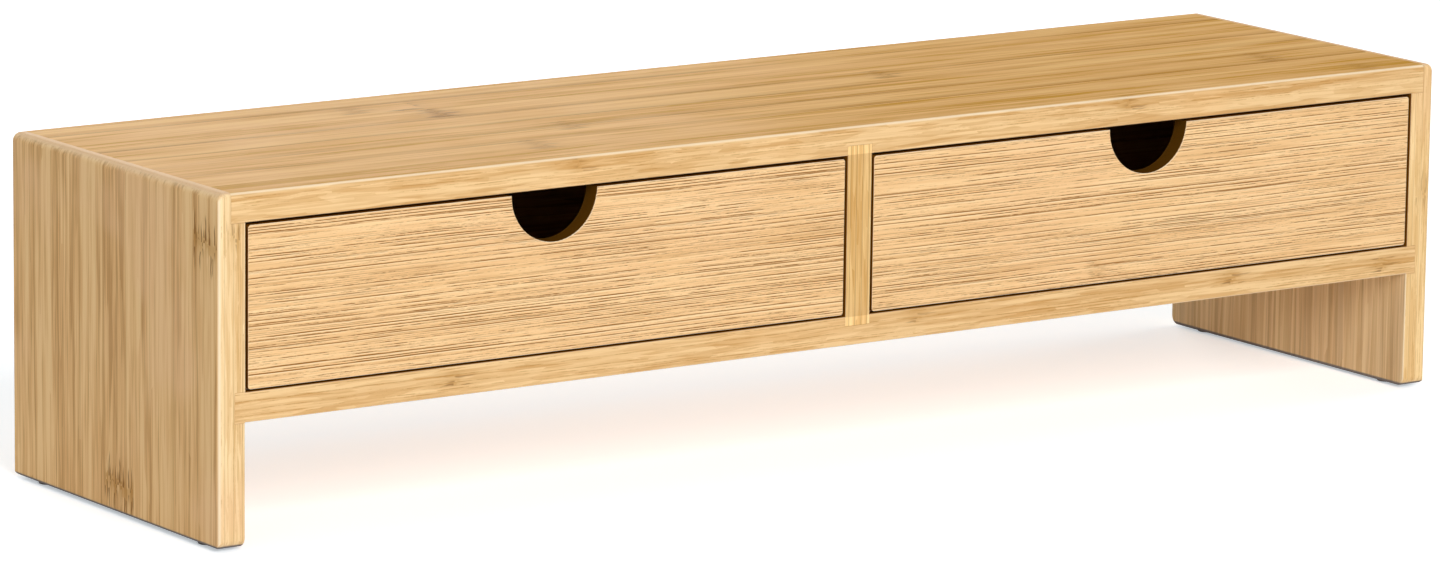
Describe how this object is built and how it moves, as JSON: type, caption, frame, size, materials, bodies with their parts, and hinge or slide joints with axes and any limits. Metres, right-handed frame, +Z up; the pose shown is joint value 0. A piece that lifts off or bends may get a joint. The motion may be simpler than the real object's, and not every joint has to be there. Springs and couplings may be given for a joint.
{
  "type": "monitor stand",
  "caption": "Bamboo desk monitor stand on panel legs, with shallow push-in drawers side by side under the deck, each opened by a half-round finger notch.",
  "frame": {"origin": "on the desk, under the middle of the stand's footprint", "axes": "+X along the deck to the right as seen from the front, +Y from the drawer fronts towards the back, +Z up"},
  "size_m": [0.6, 0.16, 0.14],
  "materials": {
    "bamboo_deck": "satin clear lacquer over laminated bamboo, grain along the board",
    "bamboo_side": "satin clear lacquer over laminated bamboo, strips upright",
    "bamboo_drawer_front": "satin clear lacquer over laminated bamboo with fine dark streaks",
    "bamboo_drawer_box": "thin matt lacquer over laminated bamboo",
    "bamboo_plywood": "thin matt lacquer over bamboo plywood",
    "foot_pad": "matt grey rubber",
    "brad_steel": "bright drawn steel"
  },
  "bodies": {
    "carcass": {"top_panel": "bamboo_deck", "left_side_panel": "bamboo_side", "right_side_panel": "bamboo_side", "drawer_shelf": "bamboo_deck", "centre_divider": "bamboo_side", "back_panel": "bamboo_plywood", "front_left_pad": "foot_pad", "front_right_pad": "foot_pad", "rear_left_pad": "foot_pad", "rear_right_pad": "foot_pad"},
    "left_drawer": {"left_drawer_front": "bamboo_drawer_front", "left_drawer_left_side": "bamboo_drawer_box", "left_drawer_right_side": "bamboo_drawer_box", "left_drawer_back": "bamboo_drawer_box", "left_drawer_bottom": "bamboo_plywood", "left_drawer_brads": "brad_steel"},
    "right_drawer": {"right_drawer_front": "bamboo_drawer_front", "right_drawer_left_side": "bamboo_drawer_box", "right_drawer_right_side": "bamboo_drawer_box", "right_drawer_back": "bamboo_drawer_box", "right_drawer_bottom": "bamboo_plywood", "right_drawer_brads": "brad_steel"}
  },
  "joints": [
    {"name": "left_drawer_slide", "type": "slide", "parent": "carcass", "child": "left_drawer", "axis": [0, -1, 0], "range_m": [0, 0.12]},
    {"name": "right_drawer_slide", "type": "slide", "parent": "carcass", "child": "right_drawer", "axis": [0, -1, 0], "range_m": [0, 0.12]}
  ]
}
